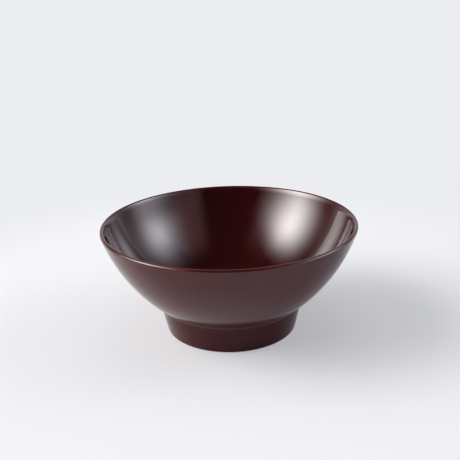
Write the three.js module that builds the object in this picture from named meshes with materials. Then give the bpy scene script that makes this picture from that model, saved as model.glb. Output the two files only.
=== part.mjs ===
// Lacquered noodle bowl: a turned wooden body glued to a turned foot ring, under four coats of lacquer.
// Millimetres, +Z up, origin on the table in the middle of the foot.
import * as THREE from 'three';

// Finished bowl
const RIM_DIAMETER = 195;
const HEIGHT = 85;
const LIP_THICKNESS = 3.1;
const EASE_RADIUS = 18; // of the soft roll from the inner wall into the lip
const EASE_DEPTH = 0.4; // by which that roll falls back from the wall
const WALL_RADIUS = 128; // of the arc that the outer wall follows from lip to foot
const WALL_AT_FOOT = 8; // thickness of the wall where it meets the foot
const FLOOR_THICKNESS = 7.5;

// Finished foot
const FOOT_TOP_DIAMETER = 111.3; // at the corner under the wall
const FOOT_BASE_DIAMETER = 101.7;
const FOOT_HEIGHT = 22; // from the table to that corner
const FOOT_WALL = 6; // at the foot's narrowest
const FOOT_FILLET = 2.4; // radius of the lacquer that gathers in the corner
const FOOT_EDGE_RADIUS = 1.2;

// Joint and coats
const SPIGOT_LENGTH = 5;
const COAT = 0.5;
const BOND = 0.05; // glue line, and the gap under a coat
const SEAM = 0.05; // gap between two coats that meet edge to edge

// Fineness of the turned surfaces
const TURN_STEPS = 56;
const WALL_STEPS = 6;
const FLOOR_STEPS = 5;
const LIP_STEPS = 5;
const EASE_STEPS = 2;
const FILLET_STEPS = 3;
const EDGE_STEPS = 2;

// A point of a profile: its distance from the axis and its height.
const at = (radius, height) => new THREE.Vector2(radius, height);

// The point that lies a given way along a direction.
const along = (point, direction, length) => point.clone().addScaledVector(direction, length);

// The unit direction from one point to another.
const towards = (from, to) => to.clone().sub(from).normalize();

// The direction a quarter turn to the right of another.
const rightOf = (direction) => at(direction.y, -direction.x);

// A profile is a line of stations, each a point of the finished surface and the way into the wood.
const station = (point, inward) => ({ point, inward });

// Stations on the shorter arc round a centre, with the wood on the right of the way to its end.
function arc(centre, start, end, steps) {
  const a = start.clone().sub(centre);
  const b = end.clone().sub(centre);
  const sweep = Math.atan2(a.cross(b), a.dot(b));
  return Array.from({ length: steps + 1 }, (_, i) => {
    const point = start.clone().rotateAround(centre, (sweep * i) / steps);
    return station(point, towards(centre, point).multiplyScalar(Math.sign(sweep)));
  });
}

// Stations on a curve, with the wood on its right.
function bend(curve, steps) {
  return Array.from({ length: steps + 1 }, (_, i) =>
    station(curve.getPoint(i / steps), rightOf(curve.getTangent(i / steps))));
}

// The points of a profile, moved into the wood by a depth.
const inset = (profile, depth) => profile.map(({ point, inward }) => along(point, inward, depth));

// The crossing of two circles that lies on the right of the way from a to b.
function crossing(a, radiusA, b, radiusB) {
  const direction = towards(a, b);
  const span = a.distanceTo(b);
  const reach = (radiusA ** 2 - radiusB ** 2 + span ** 2) / (2 * span);
  return along(along(a, direction, reach), rightOf(direction), Math.sqrt(radiusA ** 2 - reach ** 2));
}

// Wall: an arc that leaves the full-round lip smoothly and ends at the foot's top corner.
const lipRadius = LIP_THICKNESS / 2;
const lip = at(RIM_DIAMETER / 2 - lipRadius, HEIGHT - lipRadius);
const crown = at(lip.x, HEIGHT);
const corner = at(FOOT_TOP_DIAMETER / 2, FOOT_HEIGHT);
const wallCentre = crossing(lip, WALL_RADIUS - lipRadius, corner, WALL_RADIUS);
const across = towards(lip, wallCentre); // through the lip, from the outer wall to the inner
const wallTop = along(lip, across, -lipRadius);
const halfSeam = SEAM / LIP_THICKNESS; // angle of half the seam, seen from the middle of the lip

// Fillet: an arc that touches the wall and the straight taper of the foot.
const base = at(FOOT_BASE_DIAMETER / 2, 0);
const taper = towards(corner, base);
const outward = rightOf(taper).negate();
const start = along(corner, outward, FOOT_FILLET).sub(wallCentre);
const slide = start.dot(taper);
const drop = Math.sqrt(slide ** 2 + (WALL_RADIUS + FOOT_FILLET) ** 2 - start.lengthSq()) - slide;
const filletEnd = along(corner, taper, drop);
const filletCentre = along(filletEnd, outward, FOOT_FILLET);
const wallEnd = along(wallCentre, towards(wallCentre, filletCentre), WALL_RADIUS);

// Finished outside, from the crown of the lip to the lower end of the fillet
const outside = [
  ...arc(lip, crown.clone().rotateAround(lip, -halfSeam), wallTop, LIP_STEPS),
  ...arc(wallCentre, wallTop, wallEnd, WALL_STEPS).slice(1),
  ...arc(filletCentre, wallEnd, filletEnd, FILLET_STEPS).slice(1),
];
const outsideWood = inset(outside, COAT + BOND);

// Heights of the joint and the floor
const shoulder = outsideWood.at(-1).y;
const underside = shoulder - SPIGOT_LENGTH;
const ceiling = underside - BOND - COAT; // of the recess within the foot
const floor = ceiling + FLOOR_THICKNESS;

// Finished inside, from the middle of the floor up the wall and over its soft roll to the crown of the lip
const wallFace = along(lip, across, lipRadius + EASE_DEPTH);
const innerFoot = along(corner, towards(corner, wallCentre), WALL_AT_FOOT);
const innerChord = innerFoot.clone().sub(wallFace);
const innerRadius = innerChord.lengthSq() / (2 * across.dot(innerChord));
const innerCentre = along(wallFace, across, innerRadius);
const easeCentre = crossing(innerCentre, innerRadius + EASE_RADIUS, lip, EASE_RADIUS - lipRadius);
const easeStart = along(innerCentre, towards(innerCentre, easeCentre), innerRadius);
const innerTop = along(lip, towards(easeCentre, lip), lipRadius);
const fall = rightOf(towards(innerCentre, innerFoot)); // down the inner wall at its foot
const floorTurn = along(innerFoot, fall, (floor - innerFoot.y) / fall.y);
const inside = [
  ...bend(new THREE.QuadraticBezierCurve(at(0, floor), floorTurn, innerFoot), FLOOR_STEPS),
  ...arc(innerCentre, innerFoot, easeStart, WALL_STEPS).slice(1),
  ...arc(easeCentre, easeStart, innerTop, EASE_STEPS).slice(1),
  ...arc(lip, innerTop, crown.clone().rotateAround(lip, halfSeam), LIP_STEPS).slice(1),
];
const insideWood = inset(inside, COAT + BOND);

// Finished foot, from the fillet down the taper, across the standing edge and up the straight recess
const recess = Math.min(filletEnd.x, base.x) - FOOT_WALL;
const outerEdgeRadius = (base.dot(outward) - FOOT_EDGE_RADIUS * (1 + outward.y)) / outward.x;
const outerEdge = at(outerEdgeRadius, FOOT_EDGE_RADIUS);
const innerEdge = at(recess + FOOT_EDGE_RADIUS, FOOT_EDGE_RADIUS);
const foot = [
  station(along(filletEnd, taper, SEAM), rightOf(taper)),
  ...arc(outerEdge, along(outerEdge, outward, FOOT_EDGE_RADIUS), at(outerEdge.x, 0), EDGE_STEPS),
  ...arc(innerEdge, at(innerEdge.x, 0), at(recess, FOOT_EDGE_RADIUS), EDGE_STEPS),
  station(at(recess, underside - BOND), at(1, 0)),
];
const footWood = inset(foot, COAT + BOND);
const spigot = (footWood.at(0).x + footWood.at(-1).x) / 2; // radius, midway in the foot's wall

// The section of a coat: its profile and the same profile a coat deeper.
const coat = (profile) => [...inset(profile, COAT), ...inset(profile, 0).reverse()];

// The section of a ring, which closes on itself.
const closed = (section) => [...section, section[0]];

// One turned piece: its section swept once round the upright axis.
function turned(name, section, material) {
  const geometry = new THREE.LatheGeometry(section, TURN_STEPS).rotateX(Math.PI / 2);
  const mesh = new THREE.Mesh(geometry, new THREE.MeshStandardMaterial(material));
  mesh.name = name;
  return mesh;
}

const WOOD = { color: 0xb58a5c, roughness: 0.7, metalness: 0 };
const LACQUER = { color: 0x3a1411, roughness: 0.3, metalness: 0 };

function woodCore() {
  const spigotSection = [at(0, underside), at(spigot, underside), at(spigot, shoulder)];
  const section = [...spigotSection, ...outsideWood.toReversed(), ...insideWood.toReversed()];
  return turned('wood_core', section, WOOD);
}

function footRing() {
  const bore = spigot + BOND;
  const rebate = [at(bore, footWood.at(0).y), at(bore, footWood.at(-1).y)];
  return turned('foot_ring', closed([...rebate, ...footWood.toReversed()]), WOOD);
}

function baseLacquer() {
  const rim = recess - SEAM;
  const section = [at(0, ceiling), at(rim, ceiling), at(rim, ceiling + COAT), at(0, ceiling + COAT)];
  return turned('base_lacquer', section, LACQUER);
}

const bowl = new THREE.Group();
bowl.add(
  woodCore(),
  footRing(),
  turned('inner_lacquer', coat(inside), LACQUER),
  turned('outer_lacquer', closed(coat(outside)), LACQUER),
  turned('foot_lacquer', closed(coat(foot)), LACQUER),
  baseLacquer(),
);

export default bowl;
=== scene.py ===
"""Lacquered noodle bowl: fine turned coats of lacquer over the wooden core, on a pale studio floor."""
import cmath
import math
import bpy
from mathutils import Matrix, Vector


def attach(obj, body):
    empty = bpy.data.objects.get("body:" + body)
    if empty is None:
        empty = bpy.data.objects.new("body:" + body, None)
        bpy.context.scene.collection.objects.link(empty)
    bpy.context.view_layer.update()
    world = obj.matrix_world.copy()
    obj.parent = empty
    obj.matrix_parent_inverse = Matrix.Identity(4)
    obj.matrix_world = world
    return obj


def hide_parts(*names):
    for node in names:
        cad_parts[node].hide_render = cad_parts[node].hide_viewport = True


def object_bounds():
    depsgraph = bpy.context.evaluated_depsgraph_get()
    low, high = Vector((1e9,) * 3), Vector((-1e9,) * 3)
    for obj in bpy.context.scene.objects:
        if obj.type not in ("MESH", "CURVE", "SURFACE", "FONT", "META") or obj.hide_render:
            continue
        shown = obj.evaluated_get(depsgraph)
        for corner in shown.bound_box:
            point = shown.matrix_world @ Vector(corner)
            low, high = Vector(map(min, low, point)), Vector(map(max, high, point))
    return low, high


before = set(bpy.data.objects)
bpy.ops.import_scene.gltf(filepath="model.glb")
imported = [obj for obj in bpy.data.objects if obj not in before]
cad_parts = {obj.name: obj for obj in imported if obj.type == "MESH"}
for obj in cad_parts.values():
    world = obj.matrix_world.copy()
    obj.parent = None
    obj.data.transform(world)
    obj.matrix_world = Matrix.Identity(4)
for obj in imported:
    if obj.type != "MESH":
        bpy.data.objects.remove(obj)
cad_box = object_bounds()

# Sizes of the finished bowl, in metres
MM = 0.001
RIM_RADIUS = cad_box[1].x
HEIGHT = cad_box[1].z
LIP_RADIUS = 1.55 * MM
EASE_RADIUS = 18 * MM  # of the soft roll from the inner wall into the lip
EASE_DEPTH = 0.4 * MM  # by which that roll falls back from the wall
WALL_RADIUS = 128 * MM  # of the arc that the outer wall follows from lip to foot
WALL_AT_FOOT = 8 * MM
FLOOR_THICKNESS = 7.5 * MM
FOOT_TOP_RADIUS = 55.65 * MM
FOOT_BASE_RADIUS = 50.85 * MM
FOOT_HEIGHT = 22 * MM
FOOT_WALL = 6 * MM
FOOT_FILLET = 2.4 * MM  # radius of the lacquer that gathers under the wall
FOOT_EDGE = 1.2 * MM
SPIGOT_LENGTH = 5 * MM
COAT = 0.5 * MM
BOND = 0.05 * MM

# Fineness of the turned coats
TURN_STEPS = 216
WALL_STEPS = 56
FLOOR_STEPS = 32
LIP_STEPS = 28
EASE_STEPS = 12
FILLET_STEPS = 14
EDGE_STEPS = 10
HIDDEN_STRIDE = 4  # the side of a coat that lies on the wood keeps one step in this many
WELD = 0.002 * MM
SHARP = math.radians(40)

# Colours, linear
# The inside's lacquer is painted darker than the outside's: painted shade inside the bowl, over the
# lacquer's own dark red
SHADED_INSIDE_LACQUER = (0.033, 0.0014, 0.0019, 1)
OUTSIDE_LACQUER = (0.057, 0.0036, 0.0058, 1)
# The lip's colour, about the outside's and lighter than the inside's: a painted sheen along the lip
LIP_SHEEN_LACQUER = (0.058, 0.0042, 0.0050, 1)
# The foot's lacquer is painted darker than the outer wall's: painted shade on the foot under the bowl
SHADED_FOOT_LACQUER = (0.049, 0.0030, 0.0048, 1)
PALE_WOOD = (0.42, 0.25, 0.12, 1)
DARK_WOOD = (0.22, 0.11, 0.045, 1)
FLOOR_COLOUR = (0.840, 0.853, 0.868, 1)
BACKGROUND = (0.830, 0.840, 0.875, 1)

# Surface of the lacquer
LACQUER_IOR = 1.5
INSIDE_GLOSS = 0.5  # specular levels
OUTSIDE_GLOSS = 0.38
FOOT_GLOSS = 0.24
INSIDE_ROUGHNESS = 0.08
OUTSIDE_ROUGHNESS = 0.11
ROUGHNESS_SPREAD = 0.02  # either way, along the turning marks
INSIDE_POLISH = 0.7  # weights of a clear coat
LIP_POLISH = 0.5
NO_POLISH = 0
POLISH_ROUGHNESS = 0.08
RIPPLE = 0.1
RIPPLE_DEPTH = 0.02 * MM

# Camera
SENSOR_WIDTH = 36  # mm
FOCAL_LENGTH = 54.6  # mm
CAMERA_PLACE = Vector((0, -0.5033, 0.2574))
CAMERA_PITCH = math.radians(19.66)
CAMERA_YAW = math.radians(0.09)
CAMERA_ROLL = math.radians(-1.72)


# A profile point is a complex number: its distance from the axis, and its height as the imaginary part.
# A station is a point of the finished surface with the direction into the wood.

def towards(a, b):
    """The unit direction from one point to another."""
    return (b - a) / abs(b - a)


def dot(a, b):
    """The scalar product of two directions."""
    return (a * b.conjugate()).real


def right_of(direction):
    """The direction a quarter turn to the right of another."""
    return direction * -1j


def arc(centre, start, end, steps):
    """Stations on the shorter arc round a centre, with the wood on the right of the way to its end."""
    sweep = cmath.phase((end - centre) / (start - centre))
    turned = [centre + (start - centre) * cmath.exp(1j * sweep * i / steps) for i in range(steps + 1)]
    return [(point, towards(centre, point) * math.copysign(1, sweep)) for point in turned]


def bend(start, turn, end, steps):
    """Stations on a quadratic curve, with the wood on its right."""
    stations = []
    for i in range(steps + 1):
        t = i / steps
        point = start * (1 - t) ** 2 + turn * 2 * t * (1 - t) + end * t ** 2
        way = (turn - start) * (1 - t) + (end - turn) * t
        stations.append((point, right_of(way / abs(way))))
    return stations


def crossing(a, radius_a, b, radius_b):
    """The crossing of two circles that lies on the right of the way from a to b."""
    span = abs(b - a)
    reach = (radius_a ** 2 - radius_b ** 2 + span ** 2) / (2 * span)
    direction = towards(a, b)
    return a + direction * reach + right_of(direction) * math.sqrt(radius_a ** 2 - reach ** 2)


def coat_section(profile):
    """The section of a coat, from its hidden side back along the finished surface."""
    hidden = profile[:-1:HIDDEN_STRIDE] + profile[-1:]
    under = [point + inward * COAT for point, inward in hidden]
    over = [point for point, _ in reversed(profile)]
    return under + over


def closed(section):
    """The section of a ring, which ends where it starts."""
    return section + section[:1]


def bowl_sections():
    """The sections of the four coats, as lines of profile points."""
    # Wall: an arc that leaves the full-round lip smoothly and ends at the foot's top corner
    lip = complex(RIM_RADIUS - LIP_RADIUS, HEIGHT - LIP_RADIUS)
    crown = complex(lip.real, HEIGHT)
    corner = complex(FOOT_TOP_RADIUS, FOOT_HEIGHT)
    wall_centre = crossing(lip, WALL_RADIUS - LIP_RADIUS, corner, WALL_RADIUS)
    across = towards(lip, wall_centre)
    wall_top = lip - across * LIP_RADIUS

    # Fillet: an arc that touches the wall and the straight taper of the foot
    base = complex(FOOT_BASE_RADIUS, 0)
    taper = towards(corner, base)
    outward = -right_of(taper)
    start = corner + outward * FOOT_FILLET - wall_centre
    slide = dot(start, taper)
    drop = math.sqrt(slide ** 2 + (WALL_RADIUS + FOOT_FILLET) ** 2 - abs(start) ** 2) - slide
    fillet_end = corner + taper * drop
    fillet_centre = fillet_end + outward * FOOT_FILLET
    wall_end = wall_centre + towards(wall_centre, fillet_centre) * WALL_RADIUS
    outside = arc(lip, crown, wall_top, LIP_STEPS)
    outside += arc(wall_centre, wall_top, wall_end, WALL_STEPS)[1:]
    outside += arc(fillet_centre, wall_end, fillet_end, FILLET_STEPS)[1:]

    # Inside: from the middle of the floor up the wall and over its soft roll to the crown of the lip
    end_point, end_inward = outside[-1]
    underside = (end_point + end_inward * (COAT + BOND)).imag - SPIGOT_LENGTH
    ceiling = underside - BOND - COAT
    floor = ceiling + FLOOR_THICKNESS
    wall_face = lip + across * (LIP_RADIUS + EASE_DEPTH)
    inner_foot = corner + towards(corner, wall_centre) * WALL_AT_FOOT
    chord = inner_foot - wall_face
    inner_radius = abs(chord) ** 2 / (2 * dot(across, chord))
    inner_centre = wall_face + across * inner_radius
    ease_centre = crossing(inner_centre, inner_radius + EASE_RADIUS, lip, EASE_RADIUS - LIP_RADIUS)
    ease_start = inner_centre + towards(inner_centre, ease_centre) * inner_radius
    inner_top = lip + towards(ease_centre, lip) * LIP_RADIUS
    fall = right_of(towards(inner_centre, inner_foot))
    floor_turn = inner_foot + fall * (floor - inner_foot.imag) / fall.imag
    inside = bend(complex(0, floor), floor_turn, inner_foot, FLOOR_STEPS)
    inside += arc(inner_centre, inner_foot, ease_start, WALL_STEPS)[1:]
    inside += arc(ease_centre, ease_start, inner_top, EASE_STEPS)[1:]
    inside += arc(lip, inner_top, crown, LIP_STEPS)[1:]

    # Foot: down the taper, across the standing edge and up the straight recess
    recess = min(fillet_end.real, base.real) - FOOT_WALL
    edge_radius = (dot(base, outward) - FOOT_EDGE * (1 + outward.imag)) / outward.real
    outer_edge = complex(edge_radius, FOOT_EDGE)
    inner_edge = complex(recess + FOOT_EDGE, FOOT_EDGE)
    foot = [(fillet_end, right_of(taper))]
    foot += arc(outer_edge, outer_edge + outward * FOOT_EDGE, complex(edge_radius, 0), EDGE_STEPS)
    foot += arc(inner_edge, complex(inner_edge.real, 0), complex(recess, FOOT_EDGE), EDGE_STEPS)
    foot += [(complex(recess, ceiling), complex(1, 0))]

    # Base: the underside of the bowl, within the foot
    base_coat = [complex(0, ceiling), complex(recess, ceiling)]
    base_coat += [complex(recess, ceiling + COAT), complex(0, ceiling + COAT)]
    return {
        "inner": coat_section(inside),
        "outer": closed(coat_section(outside)),
        "foot": closed(coat_section(foot)),
        "base": base_coat,
    }


class Tree:
    """A node tree with short calls for its nodes and links."""

    def __init__(self, tree):
        self.tree = tree

    def node(self, kind, **settings):
        made = self.tree.nodes.new(kind)
        for name, value in settings.items():
            setattr(made, name, value)
        return made

    def link(self, output, target):
        self.tree.links.new(output, target)

    def socket(self, name, way, kind, value=None):
        made = self.tree.interface.new_socket(name, in_out=way, socket_type=kind)
        if value is not None:
            made.default_value = value
        return made

    def math(self, operation, *values):
        """A Math node on numbers and outputs; gives its output."""
        made = self.node("ShaderNodeMath", operation=operation)
        for target, value in zip(made.inputs, values):
            if isinstance(value, bpy.types.NodeSocket):
                self.link(value, target)
            else:
                target.default_value = value
        return made.outputs[0]


def lathe_tree():
    """Geometry Nodes that sweep a section, drawn in the XZ plane, once round the upright axis."""
    tree = bpy.data.node_groups.new("turned_coat", "GeometryNodeTree")
    t = Tree(tree)
    t.socket("Section", "INPUT", "NodeSocketGeometry")
    t.socket("Turn Steps", "INPUT", "NodeSocketInt")
    t.socket("Weld Distance", "INPUT", "NodeSocketFloat")
    t.socket("Sharp Angle", "INPUT", "NodeSocketFloat")
    t.socket("Finish", "INPUT", "NodeSocketMaterial")
    t.socket("Coat", "OUTPUT", "NodeSocketGeometry")
    given = t.node("NodeGroupInput").outputs

    # A grid with one column for each step round and one row for each point of the section
    size = t.node("GeometryNodeAttributeDomainSize", component="MESH")
    t.link(given["Section"], size.inputs["Geometry"])
    grid = t.node("GeometryNodeMeshGrid")
    t.link(t.math("ADD", given["Turn Steps"], 1), grid.inputs["Vertices X"])
    t.link(size.outputs["Point Count"], grid.inputs["Vertices Y"])
    place = t.node("ShaderNodeSeparateXYZ")
    t.link(grid.outputs["UV Map"], place.inputs[0])

    # Each grid point takes the section's point of its row and turns with its column
    last = t.math("SUBTRACT", size.outputs["Point Count"], 1)
    row = t.math("ROUND", t.math("MULTIPLY", place.outputs["Y"], last))
    sample = t.node("GeometryNodeSampleIndex", data_type="FLOAT_VECTOR", domain="POINT")
    t.link(given["Section"], sample.inputs["Geometry"])
    t.link(t.node("GeometryNodeInputPosition").outputs[0], sample.inputs["Value"])
    t.link(row, sample.inputs["Index"])
    turn = t.node("ShaderNodeVectorRotate", rotation_type="Z_AXIS")
    t.link(sample.outputs[0], turn.inputs["Vector"])
    t.link(t.math("MULTIPLY", place.outputs["X"], math.tau), turn.inputs["Angle"])
    move = t.node("GeometryNodeSetPosition")
    t.link(grid.outputs["Mesh"], move.inputs["Geometry"])
    t.link(turn.outputs[0], move.inputs["Position"])

    # The seam and the middle are welded, and only true corners stay sharp
    weld = t.node("GeometryNodeMergeByDistance")
    t.link(move.outputs[0], weld.inputs["Geometry"])
    t.link(given["Weld Distance"], weld.inputs["Distance"])
    smooth = t.node("GeometryNodeSetShadeSmooth", domain="FACE")
    t.link(weld.outputs[0], smooth.inputs["Geometry"])
    angle = t.node("GeometryNodeInputMeshEdgeAngle")
    sharp = t.node("GeometryNodeSetShadeSmooth", domain="EDGE")
    sharp.inputs["Shade Smooth"].default_value = False
    t.link(smooth.outputs[0], sharp.inputs["Geometry"])
    corner = t.math("GREATER_THAN", angle.outputs["Unsigned Angle"], given["Sharp Angle"])
    t.link(corner, sharp.inputs["Selection"])
    real = t.node("GeometryNodeRealizeInstances")
    t.link(sharp.outputs[0], real.inputs[0])
    finish = t.node("GeometryNodeSetMaterial")
    t.link(real.outputs[0], finish.inputs["Geometry"])
    t.link(given["Finish"], finish.inputs["Material"])
    t.link(finish.outputs[0], t.node("NodeGroupOutput").inputs[0])
    return tree


def turned_piece(name, section, tree, material, node):
    """One coat, turned from its section, that stands for a node of the frame."""
    points = [(point.real, 0, point.imag) for point in section]
    line = bpy.data.meshes.new(name + "_section")
    line.from_pydata(points, [(i, i + 1) for i in range(len(points) - 1)], [])
    piece = bpy.data.objects.new(name, line)
    bpy.context.scene.collection.objects.link(piece)
    turning = piece.modifiers.new("turning", "NODES")
    turning.node_group = tree
    sizes = {"Turn Steps": TURN_STEPS, "Weld Distance": WELD, "Sharp Angle": SHARP, "Finish": material}
    for socket in tree.interface.items_tree:
        if socket.name in sizes:
            turning[socket.identifier] = sizes[socket.name]
    turned = piece.evaluated_get(bpy.context.evaluated_depsgraph_get())
    mesh = bpy.data.meshes.new_from_object(turned)
    mesh.name = name
    piece.modifiers.clear()
    piece.data = mesh
    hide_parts(node)
    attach(piece, "root")


def turning_marks_group():
    """A value that runs round the bowl as brush and lathe marks do, from the place on the bowl."""
    tree = bpy.data.node_groups.new("turning_marks", "ShaderNodeTree")
    t = Tree(tree)
    t.socket("Place", "INPUT", "NodeSocketVector")
    t.socket("Marks per Metre", "INPUT", "NodeSocketFloat", 400.0)
    t.socket("Marks per Turn", "INPUT", "NodeSocketFloat", 2.0)
    t.socket("Mark", "OUTPUT", "NodeSocketFloat")
    given = t.node("NodeGroupInput").outputs
    place = t.node("ShaderNodeSeparateXYZ")
    t.link(given["Place"], place.inputs[0])
    x, y, z = place.outputs
    radius = t.math("SQRT", t.math("ADD", t.math("MULTIPLY", x, x), t.math("MULTIPLY", y, y)))
    safe = t.math("MAXIMUM", radius, MM)
    around = t.node("ShaderNodeCombineXYZ")
    t.link(t.math("MULTIPLY", radius, given["Marks per Metre"]), around.inputs["X"])
    t.link(t.math("MULTIPLY", t.math("DIVIDE", x, safe), given["Marks per Turn"]), around.inputs["Y"])
    t.link(t.math("MULTIPLY", t.math("DIVIDE", y, safe), given["Marks per Turn"]), around.inputs["Z"])
    noise = t.node("ShaderNodeTexNoise", noise_dimensions="4D")
    noise.inputs["Scale"].default_value = 1
    noise.inputs["Detail"].default_value = 1
    t.link(around.outputs[0], noise.inputs["Vector"])
    t.link(t.math("MULTIPLY", z, given["Marks per Metre"]), noise.inputs["W"])
    t.link(noise.outputs["Fac"], t.node("NodeGroupOutput").inputs[0])
    return tree


def lacquer_mottle_and_sheen_group():
    """The lacquer's colour, with a faint mottle and fine pigment grain, a lip colour painted over the lip
    as a painted sheen, lighter than the inside's, and the weight of the clear polish over the lip."""
    mottle_scale = 60
    lip_start, lip_full = HEIGHT - 1.5 * LIP_RADIUS, HEIGHT - 0.7 * LIP_RADIUS
    tree = bpy.data.node_groups.new("lacquer_mottle_and_sheen", "ShaderNodeTree")
    t = Tree(tree)
    t.socket("Place", "INPUT", "NodeSocketVector")
    t.socket("Mark", "INPUT", "NodeSocketFloat")
    t.socket("Body", "INPUT", "NodeSocketColor", OUTSIDE_LACQUER)
    t.socket("Mottle", "INPUT", "NodeSocketFloat", 0.1)
    t.socket("Grain", "INPUT", "NodeSocketFloat", 0.6)
    t.socket("Colour", "OUTPUT", "NodeSocketColor")
    t.socket("Polish", "OUTPUT", "NodeSocketFloat")
    given = t.node("NodeGroupInput").outputs
    noise = t.node("ShaderNodeTexNoise")
    noise.inputs["Scale"].default_value = mottle_scale
    t.link(given["Place"], noise.inputs["Vector"])
    cloud = t.math("MULTIPLY", t.math("ADD", noise.outputs["Fac"], given["Mark"]), 0.5)
    thinness = t.math("MULTIPLY_ADD", t.math("SUBTRACT", cloud, 0.5), given["Mottle"], 1)
    grain = t.node("ShaderNodeTexWhiteNoise", noise_dimensions="3D")
    t.link(given["Place"], grain.inputs["Vector"])
    speck = t.math("MULTIPLY_ADD", t.math("SUBTRACT", grain.outputs["Value"], 0.5), given["Grain"], 1)
    body = t.node("ShaderNodeVectorMath", operation="SCALE")
    t.link(given["Body"], body.inputs["Vector"])
    t.link(t.math("MULTIPLY", thinness, speck), body.inputs["Scale"])
    place = t.node("ShaderNodeSeparateXYZ")
    t.link(given["Place"], place.inputs[0])
    lip = t.node("ShaderNodeMapRange", interpolation_type="SMOOTHSTEP")
    t.link(place.outputs["Z"], lip.inputs["Value"])
    lip.inputs["From Min"].default_value = lip_start
    lip.inputs["From Max"].default_value = lip_full
    # Over the lip the colour turns to the lip colour: a painted sheen along the lip
    mix = t.node("ShaderNodeMix", data_type="RGBA")
    t.link(lip.outputs[0], mix.inputs["Factor"])
    t.link(body.outputs[0], mix.inputs["A"])
    mix.inputs["B"].default_value = LIP_SHEEN_LACQUER
    taken = t.node("NodeGroupOutput").inputs
    t.link(mix.outputs["Result"], taken["Colour"])
    t.link(t.math("MULTIPLY", lip.outputs[0], LIP_POLISH), taken["Polish"])
    return tree


def new_material(name):
    """An empty node material; gives it with its tree."""
    material = bpy.data.materials.new(name)
    material.use_nodes = True
    material.node_tree.nodes.clear()
    return material, Tree(material.node_tree)


def placed_group(t, tree, place, **values):
    """A node group in a material, fed with the place on the piece and its own values."""
    node = t.node("ShaderNodeGroup", node_tree=tree)
    t.link(place, node.inputs["Place"])
    for name, value in values.items():
        node.inputs[name.replace("_", " ")].default_value = value
    return node


def lacquer(name, marks, depth, body, gloss_level, roughness, polish=None):
    """Dark red-brown lacquer with a satin gloss. Where no polish is given, only the lip is polished."""
    material, t = new_material(name)
    place = t.node("ShaderNodeTexCoord").outputs["Object"]
    mark = placed_group(t, marks, place, Marks_per_Metre=220.0, Marks_per_Turn=1.5)
    look = placed_group(t, depth, place, Body=body)
    t.link(mark.outputs["Mark"], look.inputs["Mark"])
    shader = t.node("ShaderNodeBsdfPrincipled")
    shader.inputs["IOR"].default_value = LACQUER_IOR
    shader.inputs["Specular IOR Level"].default_value = gloss_level
    t.link(look.outputs["Colour"], shader.inputs["Base Color"])
    shader.inputs["Coat Roughness"].default_value = POLISH_ROUGHNESS
    if polish is None:
        t.link(look.outputs["Polish"], shader.inputs["Coat Weight"])
    else:
        shader.inputs["Coat Weight"].default_value = polish
    gloss = t.node("ShaderNodeMapRange")
    gloss.inputs["To Min"].default_value = roughness - ROUGHNESS_SPREAD
    gloss.inputs["To Max"].default_value = roughness + ROUGHNESS_SPREAD
    t.link(mark.outputs["Mark"], gloss.inputs["Value"])
    t.link(gloss.outputs[0], shader.inputs["Roughness"])
    bump = t.node("ShaderNodeBump")
    bump.inputs["Strength"].default_value = RIPPLE
    bump.inputs["Distance"].default_value = RIPPLE_DEPTH
    t.link(mark.outputs["Mark"], bump.inputs["Height"])
    t.link(bump.outputs[0], shader.inputs["Normal"])
    t.link(shader.outputs[0], t.node("ShaderNodeOutputMaterial").inputs["Surface"])
    return material


def turned_wood(marks):
    """Bare turned wood with growth rings across the bowl and fine lathe marks round it."""
    ring_scale, ring_waves = 45, 5
    ring_shift, ring_stretch = (0.05, 0, 0.11), (1, 0.2, 1)
    smoothest, roughest = 0.55, 0.8
    mark_strength, mark_depth = 0.3, 0.1 * MM
    material, t = new_material("turned_wood")
    place = t.node("ShaderNodeTexCoord").outputs["Object"]
    rings = t.node("ShaderNodeTexWave", wave_type="RINGS", rings_direction="Y")
    rings.inputs["Scale"].default_value = ring_scale
    rings.inputs["Distortion"].default_value = ring_waves
    rings.inputs["Detail"].default_value = 3
    turn = t.node("ShaderNodeMapping")
    turn.inputs["Location"].default_value = ring_shift
    turn.inputs["Scale"].default_value = ring_stretch
    t.link(place, turn.inputs["Vector"])
    t.link(turn.outputs[0], rings.inputs["Vector"])
    ramp = t.node("ShaderNodeValToRGB")
    ramp.color_ramp.elements[0].color = PALE_WOOD
    ramp.color_ramp.elements[1].color = DARK_WOOD
    t.link(rings.outputs["Fac"], ramp.inputs["Fac"])
    mark = placed_group(t, marks, place, Marks_per_Metre=900.0, Marks_per_Turn=1.0)
    shader = t.node("ShaderNodeBsdfPrincipled")
    t.link(ramp.outputs["Color"], shader.inputs["Base Color"])
    rough = t.node("ShaderNodeMapRange")
    rough.inputs["To Min"].default_value = smoothest
    rough.inputs["To Max"].default_value = roughest
    t.link(rings.outputs["Fac"], rough.inputs["Value"])
    t.link(rough.outputs[0], shader.inputs["Roughness"])
    bump = t.node("ShaderNodeBump")
    bump.inputs["Strength"].default_value = mark_strength
    bump.inputs["Distance"].default_value = mark_depth
    t.link(mark.outputs["Mark"], bump.inputs["Height"])
    t.link(bump.outputs[0], shader.inputs["Normal"])
    t.link(shader.outputs[0], t.node("ShaderNodeOutputMaterial").inputs["Surface"])
    return material


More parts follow.
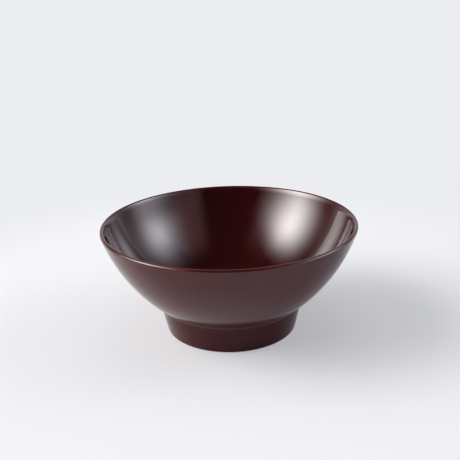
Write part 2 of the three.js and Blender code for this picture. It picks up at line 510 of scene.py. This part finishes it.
def studio_floor():
    """A wide pale disc that fades into the background's own colour away from the bowl."""
    radius, sides = 5.0, 96
    fade_start, fade_end = 0.12, 0.43  # distances from the middle of the bowl
    least_seen, least_mirrored = 0.38, 0.10  # shares of background in the floor's look near the bowl
    ring = [(radius * math.cos(math.tau * i / sides), radius * math.sin(math.tau * i / sides), 0)
            for i in range(sides)]
    mesh = bpy.data.meshes.new("studio_floor")
    mesh.from_pydata(ring, [], [list(range(sides))])
    floor = bpy.data.objects.new("studio_floor", mesh)
    bpy.context.scene.collection.objects.link(floor)
    material, t = new_material("pale_paper")
    place = t.node("ShaderNodeTexCoord").outputs["Object"]
    length = t.node("ShaderNodeVectorMath", operation="LENGTH")
    t.link(place, length.inputs[0])
    rays = t.node("ShaderNodeLightPath").outputs
    mirrored = t.math("MAXIMUM", rays["Is Glossy Ray"], rays["Is Transmission Ray"])
    fade = t.node("ShaderNodeMapRange", interpolation_type="SMOOTHSTEP")
    fade.inputs["From Min"].default_value = fade_start
    fade.inputs["From Max"].default_value = fade_end
    t.link(length.outputs["Value"], fade.inputs["Value"])
    seen = t.math("MAXIMUM", rays["Is Camera Ray"], mirrored)
    far = t.math("MULTIPLY", fade.outputs[0], seen)
    near = t.math("MULTIPLY", mirrored, least_mirrored)
    near = t.math("MULTIPLY_ADD", rays["Is Camera Ray"], least_seen, near)
    paper = t.node("ShaderNodeBsdfDiffuse")
    paper.inputs["Color"].default_value = FLOOR_COLOUR
    glow = t.node("ShaderNodeEmission")
    glow.inputs["Color"].default_value = BACKGROUND
    mix = t.node("ShaderNodeMixShader")
    t.link(t.math("MAXIMUM", far, near), mix.inputs["Fac"])
    t.link(paper.outputs[0], mix.inputs[1])
    t.link(glow.outputs[0], mix.inputs[2])
    t.link(mix.outputs[0], t.node("ShaderNodeOutputMaterial").inputs["Surface"])
    mesh.materials.append(material)


def studio_world():
    """A dark room with a pale backdrop low down behind the bowl, and a pale background for the camera."""
    backdrop_level, room_level = 0.58, 0.03
    edges = (("Y", 0.28, 0.80), ("Z", 0.65, 0.20))  # slopes at which the backdrop begins and is full
    world = bpy.data.worlds.new("studio")
    world.use_nodes = True
    world.node_tree.nodes.clear()
    bpy.context.scene.world = world
    t = Tree(world.node_tree)
    way = t.node("ShaderNodeSeparateXYZ")
    t.link(t.node("ShaderNodeTexCoord").outputs["Generated"], way.inputs[0])
    shares = []
    for axis, dark, pale in edges:
        share = t.node("ShaderNodeMapRange", interpolation_type="SMOOTHSTEP")
        share.inputs["From Min"].default_value = dark
        share.inputs["From Max"].default_value = pale
        t.link(way.outputs[axis], share.inputs["Value"])
        shares.append(share.outputs[0])
    backdrop = t.math("MULTIPLY", t.math("MULTIPLY", *shares), backdrop_level)
    room = t.node("ShaderNodeBackground")
    room.inputs["Color"].default_value = (1, 1, 1, 1)
    t.link(t.math("MAXIMUM", backdrop, room_level), room.inputs["Strength"])
    behind = t.node("ShaderNodeBackground")
    behind.inputs["Color"].default_value = BACKGROUND
    mix = t.node("ShaderNodeMixShader")
    t.link(t.node("ShaderNodeLightPath").outputs["Is Camera Ray"], mix.inputs["Fac"])
    t.link(room.outputs[0], mix.inputs[1])
    t.link(behind.outputs[0], mix.inputs[2])
    t.link(mix.outputs[0], t.node("ShaderNodeOutputWorld").inputs["Surface"])


def softbox(name, azimuth, elevation, distance, power, colour, spread, edge=(2, 2), lean=0, slant=0,
            mirrored=False):
    """A lamp that faces the bowl and dims from its middle outwards, across and up. Azimuth 0 is behind
    the bowl and 90 to its right. The spread is the slope at which the lamp has dimmed to e^-1, and a
    higher edge makes it more even inside that. The lean moves its middle across on the way up, and the
    slant makes its top brighter than its foot. A lamp either lights the bowl and the floor or is
    mirrored in the lacquer."""
    least = 5  # the lamp ends where it has dimmed to e^-5
    lamp = bpy.data.lights.new(name, "AREA")
    lamp.shape = "RECTANGLE"
    lamp.size, lamp.size_y = (2 * distance * s * least ** (1 / e) for s, e in zip(spread, edge))
    lamp.energy = power
    lamp.color = colour
    lamp.use_nodes = True
    lamp.node_tree.nodes.clear()
    t = Tree(lamp.node_tree)
    place = t.node("ShaderNodeSeparateXYZ")
    t.link(t.node("ShaderNodeNewGeometry").outputs["Parametric"], place.inputs[0])
    across, up = (t.math("MULTIPLY_ADD", place.outputs[axis], 2, -1) for axis in "XY")
    across = t.math("MULTIPLY_ADD", up, lean * lamp.size_y / lamp.size, across)
    dims = []
    for out, evenness in zip((across, up), edge):
        dims.append(t.math("MULTIPLY", t.math("POWER", t.math("ABSOLUTE", out), evenness), -least))
    glow = t.node("ShaderNodeEmission")
    level = t.math("MULTIPLY_ADD", up, slant, 1)
    t.link(t.math("MULTIPLY", t.math("EXPONENT", t.math("ADD", *dims)), level), glow.inputs["Strength"])
    t.link(glow.outputs[0], t.node("ShaderNodeOutputLight").inputs["Surface"])
    a, e = math.radians(azimuth), math.radians(elevation)
    away = Vector((math.sin(a) * math.cos(e), math.cos(a) * math.cos(e), math.sin(e)))
    light = bpy.data.objects.new(name, lamp)
    light.location = away * distance
    light.rotation_euler = away.to_track_quat("Z", "Y").to_euler()
    light.visible_camera = False
    light.visible_diffuse = not mirrored
    light.visible_glossy = mirrored
    bpy.context.scene.collection.objects.link(light)


def studio_lights():
    """A large softbox on the left, a smaller one on the right and a broad one overhead light the bowl.
    The lacquer mirrors the two at the sides, a low panel on the right and two dim warm ones in front."""
    left = {"elevation": 28.6, "lean": 0.13, "spread": (0.35, 0.41), "edge": (1.73, 2.85), "slant": 1}
    left["colour"] = (1, 0.96, 0.95)
    right = {"elevation": 34.2, "lean": 0.11, "spread": (0.33, 0.24), "edge": (1.7, 1.85)}
    right["colour"] = (0.93, 0.9, 1)
    low = {"elevation": 9, "spread": (0.45, 0.2), "colour": (0.97, 0.93, 1)}
    front = {"elevation": 42, "spread": (0.31, 0.5), "edge": (4, 4), "colour": (1, 0.55, 0.58)}
    above = {"elevation": 74, "spread": (0.54, 0.54), "colour": (0.93, 0.97, 1)}
    sheen = {"distance": 2.4, "mirrored": True}
    softbox("left_softbox", -94, distance=4.2, power=1585, **left)
    softbox("left_sheen", -99.2, power=505, **left, **sheen)
    softbox("right_softbox", 84, distance=3.8, power=472, **right)
    softbox("right_sheen", 82.9, power=194, **right, **sheen)
    softbox("low_sheen", 100, power=84, **low, **sheen)
    softbox("front_right_sheen", 126, power=13, lean=-0.55, **front, **sheen)
    softbox("front_left_sheen", -120, power=11, lean=0.3, **front, **sheen)
    softbox("overhead_softbox", 0, distance=3.8, power=277, **above)


def camera():
    """The camera at the photograph's angle."""
    lens = bpy.data.cameras.new("camera")
    lens.sensor_width = SENSOR_WIDTH
    lens.lens = FOCAL_LENGTH
    viewer = bpy.data.objects.new("camera", lens)
    turn = Matrix.Rotation(-CAMERA_YAW, 4, "Z")
    turn = turn @ Matrix.Rotation(math.radians(90) - CAMERA_PITCH, 4, "X")
    turn = turn @ Matrix.Rotation(CAMERA_ROLL, 4, "Z")
    viewer.matrix_world = Matrix.Translation(CAMERA_PLACE) @ turn
    bpy.context.scene.collection.objects.link(viewer)
    bpy.context.scene.camera = viewer


marks = turning_marks_group()
depth = lacquer_mottle_and_sheen_group()
# The inside lacquer's colour carries painted shade inside the bowl
inside_lacquer = lacquer(
    "inside_lacquer", marks, depth, SHADED_INSIDE_LACQUER, INSIDE_GLOSS, INSIDE_ROUGHNESS, INSIDE_POLISH)
outside_lacquer = lacquer(
    "outside_lacquer", marks, depth, OUTSIDE_LACQUER, OUTSIDE_GLOSS, OUTSIDE_ROUGHNESS)
# The foot lacquer's colour carries painted shade under the bowl; the base coat takes it too
foot_lacquer = lacquer(
    "foot_lacquer", marks, depth, SHADED_FOOT_LACQUER, FOOT_GLOSS, OUTSIDE_ROUGHNESS, NO_POLISH)
lathe = lathe_tree()
sections = bowl_sections()
turned_piece("inner_coat", sections["inner"], lathe, inside_lacquer, "inner_lacquer")
turned_piece("outer_coat", sections["outer"], lathe, outside_lacquer, "outer_lacquer")
turned_piece("foot_coat", sections["foot"], lathe, foot_lacquer, "foot_lacquer")
turned_piece("base_coat", sections["base"], lathe, foot_lacquer, "base_lacquer")

wood = turned_wood(marks)
for name in ("wood_core", "foot_ring"):
    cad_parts[name].data.materials.clear()
    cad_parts[name].data.materials.append(wood)

studio_floor()
studio_world()
studio_lights()
camera()
bpy.context.scene.view_settings.view_transform = "Standard"
